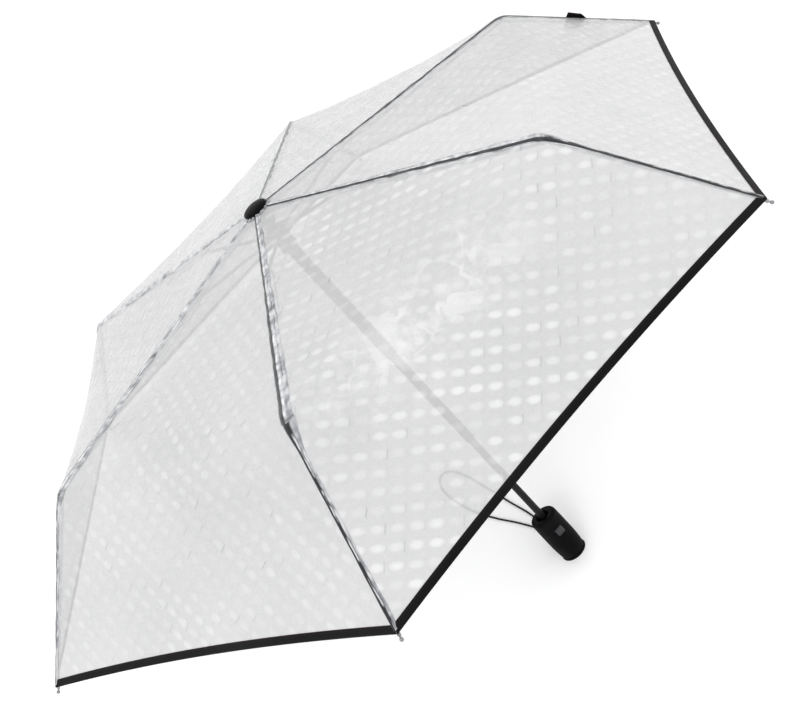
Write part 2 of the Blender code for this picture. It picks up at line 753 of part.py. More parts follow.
def smooth_route(points, step):
    """Points every step along a Catmull-Rom curve through the route."""
    ends = [points[0] * 2 - points[1], *points, points[-1] * 2 - points[-2]]
    fine = []
    for a, b, c, d in zip(ends, ends[1:], ends[2:], ends[3:]):
        for k in range(24):
            t = k / 24
            fine.append(
                0.5 * (2 * b + (c - a) * t + (2 * a - 5 * b + 4 * c - d) * t**2 + (3 * b - a - 3 * c + d) * t**3)
            )
    fine.append(points[-1])
    total = sum((q - p).length for p, q in zip(fine, fine[1:]))
    count = round(total / step)
    even, walked, due = [fine[0]], 0.0, total / count
    for p, q in zip(fine, fine[1:]):
        walked += (q - p).length
        if walked >= due * len(even) and len(even) < count:
            even.append(q)
    even.append(fine[-1])
    return even


def build_wrist_strap():
    curve = bpy.data.curves.new("wrist_strap", "CURVE")
    curve.dimensions = "3D"
    curve.bevel_depth = STRAP_RADIUS
    curve.bevel_resolution = 2
    curve.use_fill_caps = True
    points = smooth_route([Vector(p) for p in STRAP_ROUTE], STRAP_STEP)
    line = curve.splines.new("POLY")
    line.points.add(len(points) - 1)
    for slot, point in zip(line.points, points):
        slot.co = (*point, 1)
    node("wrist_strap", curve, CORD, None)


def band_mesh():
    """A flat band on the panel beside a rib, in that rib's plane frame."""
    hem = Vector((-0.5, math.cos(math.radians(30)), 0))
    slope = Vector((KNEE_RADIUS - TIP_RADIUS, 0, KNEE_Z - TIP_Z))
    up = (slope - hem * slope.dot(hem)).normalized()
    out = hem.cross(up)
    if out.z < 0:
        out.negate()
    start = Vector((TIP_RADIUS, 0, TIP_Z)) + hem * BAND_FROM_RIB + up * BAND_FROM_HEM + out * BAND_ABOVE
    along = up * math.cos(BAND_TURN) - hem * math.sin(BAND_TURN)
    across = hem * math.cos(BAND_TURN) + up * math.sin(BAND_TURN)
    half = BAND_WIDTH / 2
    outline = [(-half, 0), (half, 0), (half, BAND_LENGTH - BAND_POINT), (0, BAND_LENGTH)]
    outline.append((-half, BAND_LENGTH - BAND_POINT))

    def build(bm):
        low = [bm.verts.new(start + across * x + along * y) for x, y in outline]
        high = [bm.verts.new(v.co + out * BAND_THICK) for v in low]
        bm.faces.new(low)
        bm.faces.new(high)
        for k in range(len(outline)):
            n = (k + 1) % len(outline)
            bm.faces.new([low[k], low[n], high[n], high[k]])

    return mesh_of("closing_strap", build)


def main():
    clear_scene()
    lean, shift = lying_pose()
    umbrella = empty("umbrella", None, shift, (-lean, 0, 0))
    build_handle(umbrella)
    build_shaft(umbrella)
    build_ribs(umbrella)
    build_wrist_strap()
    plane = empty("closing_strap_plane", umbrella, rotation=(0, 0, rib_azimuth(1)))
    node("closing_strap", band_mesh(), WEBBING, plane)


main()
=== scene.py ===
"""The folding umbrella's looks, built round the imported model: a film canopy stretched over six ribs,
welted seams, a black hem tape, a moulded grip and its cord.

The umbrella has its own frame, shaft along +Z from the grip's flat end with rib 1 at azimuth 0,
and lies in the row frame on the grip's rim and two rib tips. Everything is worked out in the
umbrella's frame and placed with one matrix.
"""

import json
import math

import bmesh
import bpy
from mathutils import Matrix, Vector, noise


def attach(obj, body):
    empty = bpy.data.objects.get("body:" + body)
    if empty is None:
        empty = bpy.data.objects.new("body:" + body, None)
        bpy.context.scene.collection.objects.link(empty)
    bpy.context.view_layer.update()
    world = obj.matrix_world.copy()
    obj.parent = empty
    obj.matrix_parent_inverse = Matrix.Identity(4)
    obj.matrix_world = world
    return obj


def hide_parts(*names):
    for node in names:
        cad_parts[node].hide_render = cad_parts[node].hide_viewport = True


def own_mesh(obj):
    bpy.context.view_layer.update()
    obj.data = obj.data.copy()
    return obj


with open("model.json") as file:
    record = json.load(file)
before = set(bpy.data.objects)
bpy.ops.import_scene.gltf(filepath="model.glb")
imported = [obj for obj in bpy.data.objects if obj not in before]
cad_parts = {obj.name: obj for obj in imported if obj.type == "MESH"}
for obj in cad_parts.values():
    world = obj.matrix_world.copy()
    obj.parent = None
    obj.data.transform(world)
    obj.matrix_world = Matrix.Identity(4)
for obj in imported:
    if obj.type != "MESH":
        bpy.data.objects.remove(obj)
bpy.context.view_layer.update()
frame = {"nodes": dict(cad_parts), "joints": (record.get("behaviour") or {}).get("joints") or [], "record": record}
NODES = frame["nodes"]
RECORD = frame["record"]

RIB_COUNT = 6
RIB_STEP = 2 * math.pi / RIB_COUNT
APOTHEM = math.cos(RIB_STEP / 2)
ZONES = ("inner", "middle", "outer")
RIB_BODY = {"inner": "top", "middle": "middle", "outer": "tail"}


# ---------------------------------------------------------------- the CAD frame


def place_of_mount(name):
    return next(m for m in RECORD["mounts"] if m["name"] == name)


def joint(name):
    return next(j for j in frame["joints"] if j["name"] == name)


def umbrella_matrix():
    """Umbrella's own frame to row frame: the grip's flat end is its origin, +Z runs up the shaft."""
    foot = place_of_mount("grip_end")
    up = -Vector(foot["axis"]).normalized()
    across = Vector((1, 0, 0))
    matrix = Matrix((across, up.cross(across), up)).transposed().to_4x4()
    matrix.translation = Vector(foot["pos_m"])
    return matrix


UMBRELLA = umbrella_matrix()
TO_UMBRELLA = UMBRELLA.inverted()


def rib_matrix(number):
    """Rib plane's frame to row frame: +X outward along the rib, +Z up the shaft."""
    return UMBRELLA @ Matrix.Rotation(RIB_STEP * (number - 1), 4, "Z")


def node_points(name):
    return [TO_UMBRELLA @ v.co for v in NODES[name].data.vertices]


def ridge_ends(zone):
    """(radius, height) of the fabric's outside over the rib at a CAD strip's inner and outer edge."""
    ridge = [p for p in node_points(f"canopy_1_{zone}") if abs(p.y) < 1e-4]
    inner = min(ridge, key=lambda p: (round(p.x, 5), -p.z))
    outer = max(ridge, key=lambda p: (round(p.x, 5), p.z))
    return (inner.x, inner.z), (outer.x, outer.z)


def round_size(name):
    """Largest radius, and lowest and highest point, of a node round the shaft."""
    points = node_points(name)
    heights = [p.z for p in points]
    return max(math.hypot(p.x, p.y) for p in points), min(heights), max(heights)


(CROWN_RADIUS, CROWN_EDGE_Z), _ = ridge_ends("inner")
_, (KNEE_RADIUS, KNEE_Z) = ridge_ends("middle")
_, (TIP_RADIUS, TIP_Z) = ridge_ends("outer")
TOP_SLOPE = (KNEE_Z - CROWN_EDGE_Z) / (KNEE_RADIUS - CROWN_RADIUS)
TAIL_SLOPE = (TIP_Z - KNEE_Z) / (TIP_RADIUS - KNEE_RADIUS)
TOP_RUN = math.hypot(APOTHEM, TOP_SLOPE)
TAIL_RUN = math.hypot(APOTHEM, TAIL_SLOPE)
JOINT_RADIUS = (rib_matrix(1).inverted() @ Vector(joint("rib_1_middle_hinge")["pos_m"])).x

# How the film hangs between the ribs
HEM_HOLLOW = 0.006 / APOTHEM
KNEE_ROUND_RIB = 0.0070
KNEE_ROUND_MID = 0.020
PANEL_SAG = 0.0022
KNEE_SPREAD = 0.006
EDGE_STEP = 0.004
LEAST_FACES = 8

# ---------------------------------------------------------------- camera, light and floor

CAMERA_AT = Vector((-0.3121, -0.6227, 1.7326))
CAMERA_AZIMUTH = math.radians(28.11)
CAMERA_ELEVATION = math.radians(65.183)
CAMERA_ROLL = math.radians(22.447)
CAMERA_LENS = 69.355

# Name, place, aim, size and power of each lamp
LAMPS = [
    ("key", (-1.6, -0.9, 2.6), (0, 0, 0.2), 1.4, 16),
    ("fill", (1.9, 0.6, 2.2), (0, 0, 0.2), 1.8, 8),
    ("back", (-0.4, 2.4, 1.6), (0, 0, 0.3), 1.4, 6),
]
WORLD_STRENGTH = 0.98
FLOOR_REACH = 14.0
FLOOR_TONE = 0.97
FLOOR_GLOW = 0.10


def add_camera():
    forward = Vector(
        (
            math.sin(CAMERA_AZIMUTH) * math.cos(CAMERA_ELEVATION),
            math.cos(CAMERA_AZIMUTH) * math.cos(CAMERA_ELEVATION),
            -math.sin(CAMERA_ELEVATION),
        )
    )
    level = Vector((math.cos(CAMERA_AZIMUTH), -math.sin(CAMERA_AZIMUTH), 0))
    above = level.cross(forward)
    right = level * math.cos(CAMERA_ROLL) - above * math.sin(CAMERA_ROLL)
    top = above * math.cos(CAMERA_ROLL) + level * math.sin(CAMERA_ROLL)
    data = bpy.data.cameras.new("camera")
    data.lens = CAMERA_LENS
    data.clip_end = 20
    camera = bpy.data.objects.new("camera", data)
    bpy.context.scene.collection.objects.link(camera)
    camera.matrix_world = Matrix((right, top, -forward)).transposed().to_4x4()
    camera.matrix_world.translation = CAMERA_AT
    bpy.context.scene.camera = camera


def add_light(name, place, target, size, power):
    data = bpy.data.lights.new(name, "AREA")
    data.shape = "DISK"
    data.size = size
    data.energy = power
    lamp = bpy.data.objects.new(name, data)
    bpy.context.scene.collection.objects.link(lamp)
    lamp.location = place
    aim = Vector(target) - Vector(place)
    lamp.rotation_euler = aim.to_track_quat("-Z", "Y").to_euler()


def add_studio():
    world = bpy.data.worlds.new("studio")
    world.use_nodes = True
    background = world.node_tree.nodes["Background"]
    background.inputs["Color"].default_value = (1.0, 1.0, 1.0, 1.0)
    background.inputs["Strength"].default_value = WORLD_STRENGTH
    bpy.context.scene.world = world
    bpy.context.scene.view_settings.view_transform = "Standard"
    for lamp in LAMPS:
        add_light(*lamp)

    mesh = bpy.data.meshes.new("floor")
    corners = [(x * FLOOR_REACH, y * FLOOR_REACH, 0) for x, y in ((-1, -1), (1, -1), (1, 1), (-1, 1))]
    mesh.from_pydata(corners, [], [(0, 1, 2, 3)])
    floor = bpy.data.objects.new("floor", mesh)
    bpy.context.scene.collection.objects.link(floor)
    paint = Paint("floor", (FLOOR_TONE, FLOOR_TONE, FLOOR_TONE), 0.9)
    paint.shader.inputs["Emission Color"].default_value = (1.0, 1.0, 1.0, 1.0)
    paint.shader.inputs["Emission Strength"].default_value = FLOOR_GLOW
    mesh.materials.append(paint.material)


# ---------------------------------------------------------------- materials


class Paint:
    """A Principled material and the few node shortcuts that its pattern needs."""

    def __init__(self, name, colour, roughness, metallic=0.0):
        self.material = bpy.data.materials.new(name)
        self.material.use_nodes = True
        self.tree = self.material.node_tree
        self.shader = self.tree.nodes["Principled BSDF"]
        self.shader.inputs["Base Color"].default_value = (*colour, 1.0)
        self.shader.inputs["Roughness"].default_value = roughness
        self.shader.inputs["Metallic"].default_value = metallic

    def node(self, kind, **settings):
        made = self.tree.nodes.new(kind)
        for name, value in settings.items():
            setattr(made, name, value)
        return made

    def plug(self, socket, value):
        if isinstance(value, bpy.types.NodeSocket):
            self.tree.links.new(value, socket)
        else:
            socket.default_value = value

    def math(self, operation, first, second=0.0, third=0.0):
        made = self.node("ShaderNodeMath", operation=operation)
        for socket, value in zip(made.inputs, (first, second, third)):
            self.plug(socket, value)
        return made.outputs[0]

    def attribute(self, name, output="Fac"):
        return self.node("ShaderNodeAttribute", attribute_name=name).outputs[output]

    def parts(self, vector):
        made = self.node("ShaderNodeSeparateXYZ")
        self.plug(made.inputs[0], vector)
        return made.outputs

    def vector(self, x, y, z=0.0):
        made = self.node("ShaderNodeCombineXYZ")
        for socket, value in zip(made.inputs, (x, y, z)):
            self.plug(socket, value)
        return made.outputs[0]

    def here(self):
        return self.node("ShaderNodeTexCoord").outputs["Object"]

    def noise(self, scale, detail=2.0, where=None, rough=0.5):
        made = self.node("ShaderNodeTexNoise")
        self.plug(made.inputs["Vector"], where or self.here())
        made.inputs["Scale"].default_value = scale
        made.inputs["Detail"].default_value = detail
        made.inputs["Roughness"].default_value = rough
        return made.outputs["Fac"]

    def cells(self, scale, where, feature="F1", output="Distance"):
        made = self.node("ShaderNodeTexVoronoi", feature=feature)
        self.plug(made.inputs["Vector"], where)
        made.inputs["Scale"].default_value = scale
        return made.outputs[output]

    def random(self, vector):
        made = self.node("ShaderNodeTexWhiteNoise", noise_dimensions="3D")
        self.plug(made.inputs["Vector"], vector)
        return made.outputs["Value"]

    def step(self, value, low, high, to_low=0.0, to_high=1.0):
        """Smooth step of value from low to high, mapped to to_low and to_high."""
        made = self.node("ShaderNodeMapRange", interpolation_type="SMOOTHSTEP")
        for name, number in (("From Min", low), ("From Max", high), ("To Min", to_low), ("To Max", to_high)):
            made.inputs[name].default_value = number
        self.plug(made.inputs["Value"], value)
        return made.outputs["Result"]

    def mix(self, share, first, second):
        made = self.node("ShaderNodeMix", data_type="RGBA")
        self.plug(made.inputs["Factor"], share)
        for name, value in (("A", first), ("B", second)):
            socket = [s for s in made.inputs if s.name == name and s.type == "RGBA"][0]
            self.plug(socket, (*value, 1.0) if isinstance(value, tuple) else value)
        return [s for s in made.outputs if s.type == "RGBA"][0]

    def colour(self, value):
        self.plug(self.shader.inputs["Base Color"], value)

    def rough(self, value):
        self.plug(self.shader.inputs["Roughness"], value)

    def bump(self, height, distance, strength=1.0):
        made = self.node("ShaderNodeBump")
        made.inputs["Distance"].default_value = distance
        made.inputs["Strength"].default_value = strength
        self.plug(made.inputs["Height"], height)
        self.plug(self.shader.inputs["Normal"], made.outputs["Normal"])


# The film: its opacity, the panel with most creases and glints, and the net of embossed scales
FILM_ALPHA = 0.84
CREASED_PANEL = 5
CELL = 0.0156
CELL_TURN = math.radians(50)


def scale_pattern(paint):
    """Embossed scales in a square net: (lens height, painted glint, painted shade dash) from the panel's flat
    position.
    """
    u, v, panel = paint.parts(paint.attribute("panel_at", "Vector"))
    cos, sin = math.cos(CELL_TURN) / CELL, math.sin(CELL_TURN) / CELL
    column_at = paint.math("ADD", paint.math("MULTIPLY", u, cos), paint.math("MULTIPLY", v, sin))
    row_at = paint.math("SUBTRACT", paint.math("MULTIPLY", v, cos), paint.math("MULTIPLY", u, sin))
    row_at = paint.math("ADD", row_at, paint.math("MULTIPLY", column_at, 0.12))
    row = paint.math("FLOOR", row_at)
    column = paint.math("FLOOR", column_at)
    x = paint.math("SUBTRACT", paint.math("FRACT", column_at), 0.5)
    y = paint.math("SUBTRACT", paint.math("FRACT", row_at), 0.5)
    chance = paint.random(paint.vector(column, row, panel))
    other = paint.random(paint.vector(row, column, paint.math("ADD", panel, 3.7)))
    wander = paint.math("SUBTRACT", paint.noise(130.0, 2.0), 0.5)

    def oval(wide, tall, left=0.0, up=0.0):
        dx = paint.math("DIVIDE", paint.math("SUBTRACT", x, left), wide)
        dy = paint.math("DIVIDE", paint.math("SUBTRACT", y, up), tall)
        away = paint.math("ADD", paint.math("MULTIPLY", dx, dx), paint.math("MULTIPLY", dy, dy))
        return paint.math("ADD", away, paint.math("MULTIPLY", wander, 1.6))

    lens = paint.step(oval(0.62, 0.62), 0.0, 1.2, 1.0, 0.0)
    glint_shape = paint.step(oval(0.30, 0.19), 0.0, 2.6, 1.0, 0.0)
    glint = paint.math("MULTIPLY", glint_shape, paint.step(chance, 0.0, 1.0, 0.25, 1.0))
    # Painted shade: a dark dash down one side of some scales, where the embossed outline is shaded.
    waver = paint.math("MULTIPLY", wander, 0.12)
    side = paint.math("ABSOLUTE", paint.math("SUBTRACT", paint.math("ADD", x, waver), 0.40))
    side = paint.step(side, 0.012, 0.060, 1.0, 0.0)
    tall = paint.step(paint.math("ABSOLUTE", y), 0.18, 0.42, 1.0, 0.0)
    turn = paint.math("PINGPONG", paint.math("ADD", column, row), 1.0)
    painted_shade_dash = paint.math("MULTIPLY", paint.math("MULTIPLY", side, tall), paint.step(other, 0.25, 1.0))
    painted_shade_dash = paint.math("MULTIPLY", painted_shade_dash, paint.math("ADD", paint.math("MULTIPLY", turn, 0.85), 0.15))
    return lens, glint, painted_shade_dash


def film_material():
    """Light grey film: embossed scales that glint, fine crinkles, a patch of creases with a painted sheen."""
    paint = Paint("canopy_film", (0.57, 0.57, 0.575), 0.22)
    lens, glint, painted_shade_dash = scale_pattern(paint)
    crease, glint_gain, _ = paint.parts(paint.attribute("film_look", "Vector"))
    at = paint.attribute("panel_at", "Vector")
    swirl = paint.node("ShaderNodeTexNoise")
    paint.plug(swirl.inputs["Vector"], at)
    swirl.inputs["Scale"].default_value = 40.0
    shrink = paint.node("ShaderNodeVectorMath", operation="SCALE")
    paint.plug(shrink.inputs[0], swirl.outputs["Color"])
    shrink.inputs["Scale"].default_value = 0.014
    warp = paint.node("ShaderNodeVectorMath", operation="ADD")
    paint.plug(warp.inputs[0], at)
    paint.plug(warp.inputs[1], shrink.outputs[0])
    facet = paint.cells(55.0, warp.outputs[0], "F1", "Color")
    facet_tone, _, _ = paint.parts(facet)
    ridge = paint.cells(38.0, warp.outputs[0], "DISTANCE_TO_EDGE")
    crackle = paint.step(ridge, 0.0, 0.11, 1.0, 0.0)
    crackle = paint.math("MULTIPLY", crackle, paint.step(paint.noise(50.0, 2.0, at), 0.35, 0.7))
    patch = paint.step(paint.noise(22.0, 4.0, at, 0.65), 0.40, 0.58)
    # The creased patch: its facets and crackled folds raise the bump, and carry a painted sheen in the colour.
    facets = paint.math("MULTIPLY", patch, paint.step(facet_tone, 0.25, 0.75, 0.25, 1.0))
    creases_and_sheen = paint.math("MULTIPLY", crease, paint.math("MAXIMUM", facets, crackle))
    cloud = paint.step(paint.noise(9.0, 3.0, at), 0.3, 0.7)
    base = paint.mix(cloud, (0.522, 0.524, 0.532), (0.570, 0.571, 0.576))
    grain = paint.step(paint.noise(210.0, 3.0, at, 0.7), 0.3, 0.75)
    base = paint.mix(paint.math("MULTIPLY", grain, 0.35), base, (0.63, 0.63, 0.635))
    strong = paint.step(paint.noise(6.0, 2.0, at), 0.35, 0.65, 0.30, 0.75)
    strong = paint.math("MULTIPLY", strong, glint_gain)
    lit = paint.mix(paint.math("MULTIPLY", glint, strong), base, (0.82, 0.822, 0.825))
    # Painted sheen: the creased patch lightened towards white.
    lit = paint.mix(paint.math("MULTIPLY", creases_and_sheen, 0.62), lit, (0.84, 0.84, 0.842))
    quiet = paint.math("SUBTRACT", 1.0, paint.math("MULTIPLY", crease, 0.75))
    fade = paint.step(paint.noise(8.0, 2.0, at), 0.38, 0.62, 0.10, 0.62)
    # Painted shade: the scales' dark dashes, fewer in the creased patch.
    shaded_dashes = paint.math("MULTIPLY", paint.math("MULTIPLY", painted_shade_dash, quiet), fade)
    paint.colour(paint.mix(shaded_dashes, lit, (0.27, 0.275, 0.29)))
    paint.shader.inputs["Alpha"].default_value = FILM_ALPHA
    paint.rough(paint.step(paint.noise(60.0, 2.0, at), 0.3, 0.7, 0.16, 0.34))
    fine = paint.math("MULTIPLY", grain, 0.25)
    relief = paint.math("ADD", paint.math("MULTIPLY", lens, 0.55), fine)
    relief = paint.math("ADD", relief, paint.math("MULTIPLY", creases_and_sheen, 0.8))
    paint.bump(relief, 0.0010, 0.6)
    paint.shader.inputs["Specular IOR Level"].default_value = 0.5
    paint.shader.inputs["IOR"].default_value = 1.46
    return paint.material


def seam_material(name, line_at, narrow, wide, least):
    """Welted film over the dark rib: a black line on one side, a band of crushed film on the other, with painted
    reflections and painted glints.
    """
    paint = Paint(name, (0.5, 0.5, 0.52), 0.22)
    across, along, joint_near = paint.parts(paint.attribute("seam_at", "Vector"))
    stretch = paint.vector(along, paint.math("MULTIPLY", across, 0.005))
    waver = paint.math("SUBTRACT", paint.noise(60.0, 2.0, stretch, 0.5), 0.5)
    drift = paint.math("ADD", across, paint.math("MULTIPLY", waver, 0.45))

    def line(value, centre, narrow, wide):
        away = paint.math("ABSOLUTE", paint.math("SUBTRACT", value, centre))
        return paint.step(away, narrow, wide, 1.0, 0.0)

    def broken(scale, low, high, least):
        return paint.step(paint.noise(scale, 2.0, stretch), low, high, least, 1.0)

    # The band is partly the dark rib seen through the film, partly painted reflection in its mottled and streaked
    # greys and whites.
    streak_at = paint.vector(paint.math("MULTIPLY", along, 45.0), paint.math("MULTIPLY", across, 1.6))
    long_tone = paint.noise(1.0, 3.0, streak_at)
    tone = paint.noise(120.0, 2.5, stretch, 0.55)
    band = paint.mix(paint.step(tone, 0.30, 0.66), (0.27, 0.275, 0.30), (0.66, 0.665, 0.68))
    band = paint.mix(paint.step(long_tone, 0.50, 0.72, 0.0, 0.7), band, (0.20, 0.205, 0.225))
    rib = paint.math("MULTIPLY", line(drift, line_at, narrow, wide), broken(30.0, 0.22, 0.45, least))
    second = paint.math("MULTIPLY", line(drift, 0.50, 0.02, 0.13), broken(45.0, 0.40, 0.60, 0.0))
    edge = paint.math("MULTIPLY", line(across, 0.90, 0.03, 0.14), broken(30.0, 0.40, 0.60, 0.0))
    shade = paint.mix(paint.math("MULTIPLY", edge, 0.5), band, (0.20, 0.205, 0.22))
    shade = paint.mix(paint.math("MULTIPLY", second, 0.75), shade, (0.06, 0.062, 0.07))
    shade = paint.mix(rib, shade, (0.010, 0.011, 0.014))
    # Painted highlight: broken white streaks along the welt.
    seam_glint = paint.math("MULTIPLY", line(drift, 0.10, 0.04, 0.24), broken(70.0, 0.45, 0.60, 0.0))
    shade = paint.mix(paint.math("MULTIPLY", seam_glint, 0.8), shade, (0.88, 0.885, 0.90))
    shade = paint.mix(paint.math("MULTIPLY", joint_near, 0.8), shade, (0.06, 0.062, 0.07))
    paint.colour(shade)
    paint.rough(0.2)
    paint.bump(tone, 0.0008, 0.7)
    return paint.material


def washer_material():
    """Bunched grey film at the foot of the cap."""
    paint = Paint("washer_film", (0.30, 0.30, 0.32), 0.3)
    tone = paint.noise(260.0, 3.0)
    paint.colour(paint.mix(paint.step(tone, 0.35, 0.65), (0.14, 0.145, 0.16), (0.50, 0.505, 0.52)))
    paint.bump(tone, 0.0008, 0.7)
    return paint.material


def tape_material():
    """Woven black binding: fine diagonal weave, one stitch line near its edge."""
    paint = Paint("black_tape", (0.014, 0.014, 0.015), 0.62)
    across, along, _ = paint.parts(paint.attribute("tape_at", "Vector"))
    warp = paint.math("SINE", paint.math("MULTIPLY", paint.math("ADD", along, across), 5200.0))
    weft = paint.math("SINE", paint.math("MULTIPLY", paint.math("SUBTRACT", along, across), 5200.0))
    weave = paint.math("ADD", paint.math("MULTIPLY", warp, 0.5), paint.math("MULTIPLY", weft, 0.5))
    off_line = paint.math("ABSOLUTE", paint.math("SUBTRACT", across, 0.0018))
    on_line = paint.step(off_line, 0.0002, 0.0004, 1.0, 0.0)
    gap = paint.step(paint.math("SINE", paint.math("MULTIPLY", along, 2100.0)), -0.6, -0.2)
    stitch = paint.math("MULTIPLY", on_line, gap)
    edge = paint.step(across, 0.0, 0.0011, 1.0, 0.0)
    fade = paint.step(paint.noise(9.0, 2.0), 0.3, 0.7)
    shade = paint.mix(fade, (0.0035, 0.0035, 0.004), (0.008, 0.0078, 0.008))
    shade = paint.mix(paint.math("MULTIPLY", edge, 0.45), shade, (0.075, 0.022, 0.018))
    shade = paint.mix(paint.math("MULTIPLY", stitch, 0.7), shade, (0.020, 0.020, 0.022))
    paint.colour(shade)
    height = paint.math("ADD", paint.math("MULTIPLY", weave, 0.3), paint.math("MULTIPLY", stitch, 1.2))
    paint.bump(height, 0.0003, 0.8)
    paint.shader.inputs["Specular IOR Level"].default_value = 0.10
    return paint.material


def metal_material(name, dark, light, rough, metallic, shine=0.5):
    """Drawn metal: long faint scratches, a little dirt in the finish."""
    paint = Paint(name, light, rough, metallic)
    paint.shader.inputs["Specular IOR Level"].default_value = shine
    here = paint.here()
    cloud = paint.noise(60.0, 3.0, here)
    grain = paint.noise(900.0, 1.0, here)
    paint.colour(paint.mix(paint.step(cloud, 0.3, 0.7), dark, light))
    paint.rough(paint.step(grain, 0.2, 0.8, rough - 0.07, rough + 0.12))
    paint.bump(grain, 0.0002, 0.25)
    return paint.material


def plastic_material(name, dark, light, rough, grain_scale, depth):
    """Moulded plastic: fine spark-eroded grain and soft variation of colour."""
    paint = Paint(name, light, rough)
    here = paint.here()
    grain = paint.noise(grain_scale, 2.0, here)
    paint.colour(paint.mix(paint.step(paint.noise(35.0, 3.0, here), 0.3, 0.7), dark, light))
    paint.rough(paint.step(grain, 0.25, 0.75, rough - 0.06, rough + 0.1))
    paint.bump(grain, depth, 0.5)
    paint.shader.inputs["Specular IOR Level"].default_value = 0.06
    return paint.material


def cord_material():
    """Round braid: two sets of strands crossing, matte."""
    paint = Paint("strap_cord", (0.02, 0.02, 0.019), 0.8)
    here = paint.here()
    strand = paint.cells(1500.0, here)
    # Painted shade: each strand lighter in its middle and darker in the gaps between strands.
    paint.colour(paint.mix(paint.step(strand, 0.1, 0.7), (0.035, 0.034, 0.031), (0.010, 0.010, 0.010)))
    paint.bump(strand, 0.0003, 0.9)
    paint.shader.inputs["Specular IOR Level"].default_value = 0.15
    return paint.material


def make_materials():
    return {
        "canopy_film": film_material(),
        "seam_film": seam_material("seam_film", -0.45, 0.28, 0.50, 0.75),
        "seam_tail": seam_material("seam_tail", -0.22, 0.42, 0.72, 0.85),
        "washer_film": washer_material(),
        "black_tape": tape_material(),
        "rib_steel": metal_material("rib_steel", (0.20, 0.205, 0.215), (0.42, 0.43, 0.45), 0.34, 0.85),
        "black_steel": metal_material(
            "black_steel", (0.003, 0.003, 0.0033), (0.008, 0.008, 0.0085), 0.40, 0.0, 0.22
        ),
        "black_plastic": plastic_material(
            "black_plastic", (0.002, 0.002, 0.0022), (0.005, 0.005, 0.0053), 0.42, 900.0, 0.0002
        ),
        "grip_plastic": plastic_material(
            "grip_plastic", (0.002, 0.002, 0.0022), (0.0055, 0.0055, 0.006), 0.58, 1400.0, 0.0003
        ),
        "button_plastic": plastic_material(
            "button_plastic", (0.045, 0.045, 0.048), (0.085, 0.085, 0.09), 0.45, 1100.0, 0.0002
        ),
        "strap_cord": cord_material(),
    }


# ---------------------------------------------------------------- pieces


def add_piece(name, mesh, body, material, replaced=()):
    """Places a mesh made in the row frame, rides it on its body and hides the CAD nodes that it stands for."""
    made = bpy.data.objects.new(name, mesh)
    bpy.context.scene.collection.objects.link(made)
    if not mesh.materials:
        mesh.materials.append(material)
    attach(made, body)
    if replaced:
        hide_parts(*replaced)
    return made


def grid_mesh(name, rows, columns, point, attribute=None, flip=False, normals=True):
    """A sheet of rows x columns faces from point(row, column), in the umbrella's frame.

    Points one step past each edge give the edges' normals, so that neighbouring sheets meet
    without a line between them. attribute is (name, function of row and column)."""
    spare = 1 if normals else 0
    all_rows, all_columns = range(-spare, rows + 1 + spare), range(-spare, columns + 1 + spare)
    spots = {(i, j): UMBRELLA @ point(i, j) for i in all_rows for j in all_columns}
    order = [(i, j) for i in range(rows + 1) for j in range(columns + 1)]
    index = {key: k for k, key in enumerate(order)}
    faces = []
    for i in range(rows):
        for j in range(columns):
            face = [index[i, j], index[i + 1, j], index[i + 1, j + 1], index[i, j + 1]]
            faces.append(face[::-1] if flip else face)
    mesh = bpy.data.meshes.new(name)
    mesh.from_pydata([spots[key] for key in order], [], faces)
    mesh.shade_smooth()
    if attribute:
        label, value = attribute
        data = mesh.attributes.new(label, "FLOAT_VECTOR", "POINT").data
        for k, (i, j) in enumerate(order):
            data[k].vector = value(i, j)
    if normals:
        facing = []
        for i, j in order:
            normal = (spots[i + 1, j] - spots[i - 1, j]).cross(spots[i, j + 1] - spots[i, j - 1])
            facing.append((-normal if flip else normal).normalized())
        mesh.normals_split_custom_set_from_vertices(facing)
    return mesh


# ---------------------------------------------------------------- canopy surface
#
# A point of the film is given by its panel (1 to 6, from that rib to the next), its ring radius
# (where the level line through it meets the ribs) and its share of the way across the panel.


def smooth(value):
    value = min(max(value, 0.0), 1.0)
    return value * value * (3 - 2 * value)


def middle_share(share):
    """0 at the ribs, rising smoothly to 1 at the panel's middle."""
    return 1 - (1 - 2 * share) ** 2


def hem_radius(share):
    return TIP_RADIUS - HEM_HOLLOW * middle_share(share)


def film_height(radius, share):
    """Height of the two slopes with the knee fold rounded, more so between the ribs."""
    top = CROWN_EDGE_Z + TOP_SLOPE * (radius - CROWN_RADIUS)
    tail = KNEE_Z + TAIL_SLOPE * (radius - KNEE_RADIUS)
    middle = middle_share(share)
    soft = KNEE_ROUND_RIB + KNEE_ROUND_MID * middle
    near = max(soft - abs(top - tail), 0.0) / soft
    sag = PANEL_SAG * middle * smooth(radius / KNEE_RADIUS)
    return min(top, tail) - near * near * soft / 4 - sag


def film_base(panel, radius, share):
    """Point on the smooth film, in the umbrella's frame."""
    low = RIB_STEP * (panel - 1)
    start = Vector((math.cos(low), math.sin(low), 0))
    end = Vector((math.cos(low + RIB_STEP), math.sin(low + RIB_STEP), 0))
    level = (start * (1 - share) + end * share) * radius
    return Vector((level.x, level.y, film_height(radius, share)))


def film_normal(panel, radius, share):
    step = 0.002
    across = film_base(panel, radius, share + step) - film_base(panel, radius, share - step)
    outward = film_base(panel, radius + step, share) - film_base(panel, radius - step, share)
    return outward.cross(across).normalized()


def flat_place(panel, radius, share):
    """Position on the panel laid flat: across from its middle line, and down from the crown."""
    down = min(radius, KNEE_RADIUS) * TOP_RUN + max(radius - KNEE_RADIUS, 0.0) * TAIL_RUN
    return Vector((radius * (share - 0.5), down, float(panel % RIB_COUNT)))


